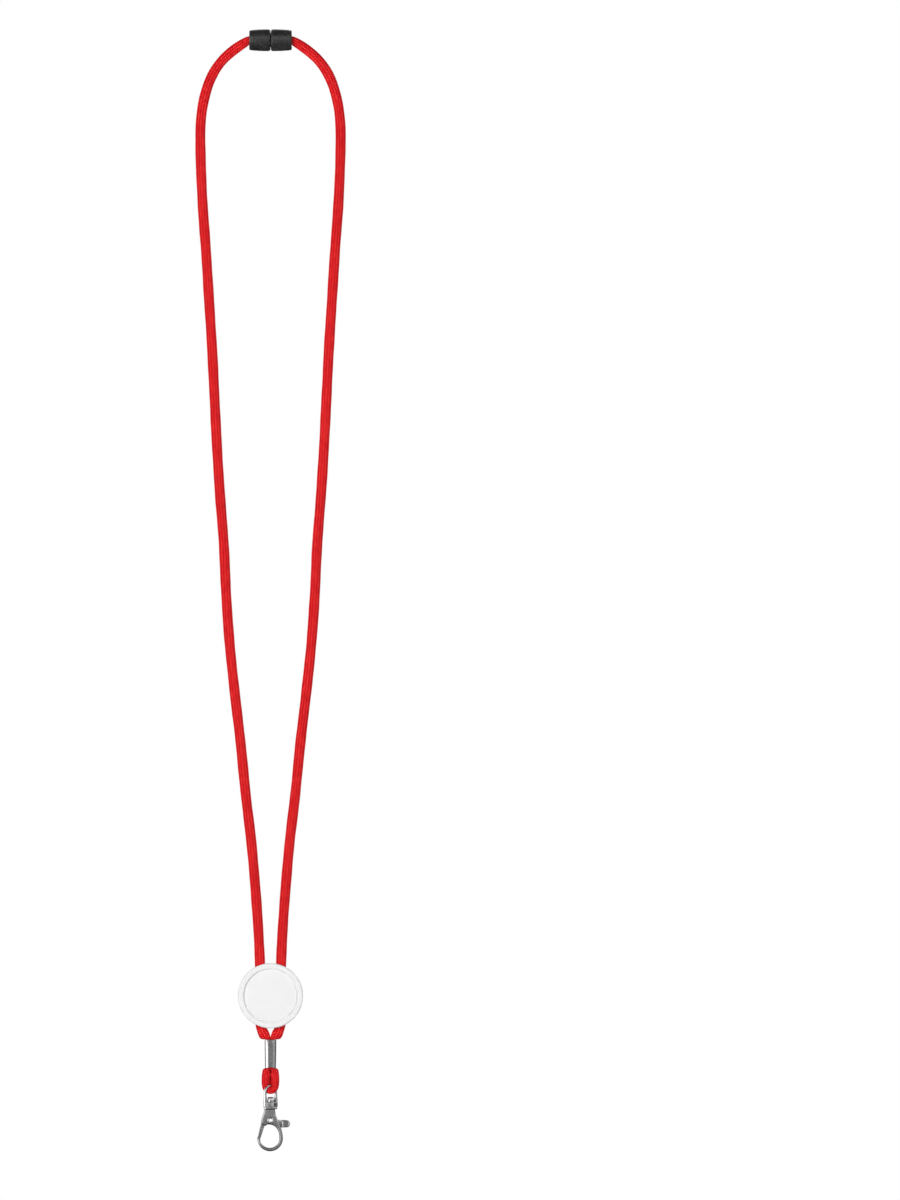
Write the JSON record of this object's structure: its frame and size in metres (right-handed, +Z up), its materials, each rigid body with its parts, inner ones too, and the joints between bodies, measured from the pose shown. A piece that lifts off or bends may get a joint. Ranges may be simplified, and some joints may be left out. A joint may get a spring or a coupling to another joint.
{
  "type": "lanyard badge holder",
  "caption": "Hanging neck lanyard: flat braided cord with a breakaway barrel buckle, a sliding round badge, a crimped ferrule and a swivel lobster clip.",
  "frame": {"origin": "underside of the breakaway buckle at its middle, where the lanyard rests on the back of the neck", "axes": "+Z up along the hanging lanyard, +X to the viewer's right, the badge faces -Y"},
  "size_m": [0.074, 0.0108, 0.5526],
  "materials": {
    "black_plastic": "fine matte grain",
    "white_plastic": "satin moulded",
    "red_braid": "tubular braided polyester",
    "nickel_plate": "nickel plated, fine tumbled grain",
    "spring_steel": "drawn wire",
    "stop_metal": "plain"
  },
  "bodies": {
    "lanyard": {"buckle_socket": "black_plastic", "socket_cord_stop": "stop_metal", "neck_cord_left": "red_braid", "neck_cord_right": "red_braid", "hook_loop_cord": "red_braid", "ferrule": "nickel_plate"},
    "release_half": {"buckle_plug": "black_plastic", "plug_cord_stop": "stop_metal"},
    "badge": {"badge_front": "white_plastic", "badge_back": "white_plastic"},
    "bail": {"swivel_bail": "nickel_plate"},
    "hook": {"hook_body": "nickel_plate", "swivel_post": "nickel_plate", "pivot_rivet": "nickel_plate", "gate_spring": "spring_steel"},
    "lever": {"gate_lever": "nickel_plate"}
  },
  "joints": [
    {"name": "buckle_release", "type": "slide", "parent": "lanyard", "child": "release_half", "axis": [1, 0, 0], "range_m": [0, 0.01], "deforming": ["neck_cord_right"]},
    {"name": "badge_slide", "type": "slide", "parent": "lanyard", "child": "badge", "axis": [0, 0, 1], "range_m": [-0.003, 0.018]},
    {"name": "bail_swing", "type": "hinge", "parent": "lanyard", "child": "bail", "pos_m": [0, 0, -0.5119], "axis": [1, 0, 0], "range_deg": [-35, 35], "deforming": ["hook_loop_cord"]},
    {"name": "hook_swivel", "type": "hinge", "parent": "bail", "child": "hook", "pos_m": [0, 0, -0.5204], "axis": [0, 0, 1], "continuous": true},
    {"name": "gate_open", "type": "hinge", "parent": "hook", "child": "lever", "pos_m": [0, 0, -0.5265], "axis": [0, -1, 0], "range_deg": [0, 28], "stiffness_Nm_per_rad": 0.01, "springref_deg": -28.65, "deforming": ["gate_spring"]}
  ]
}
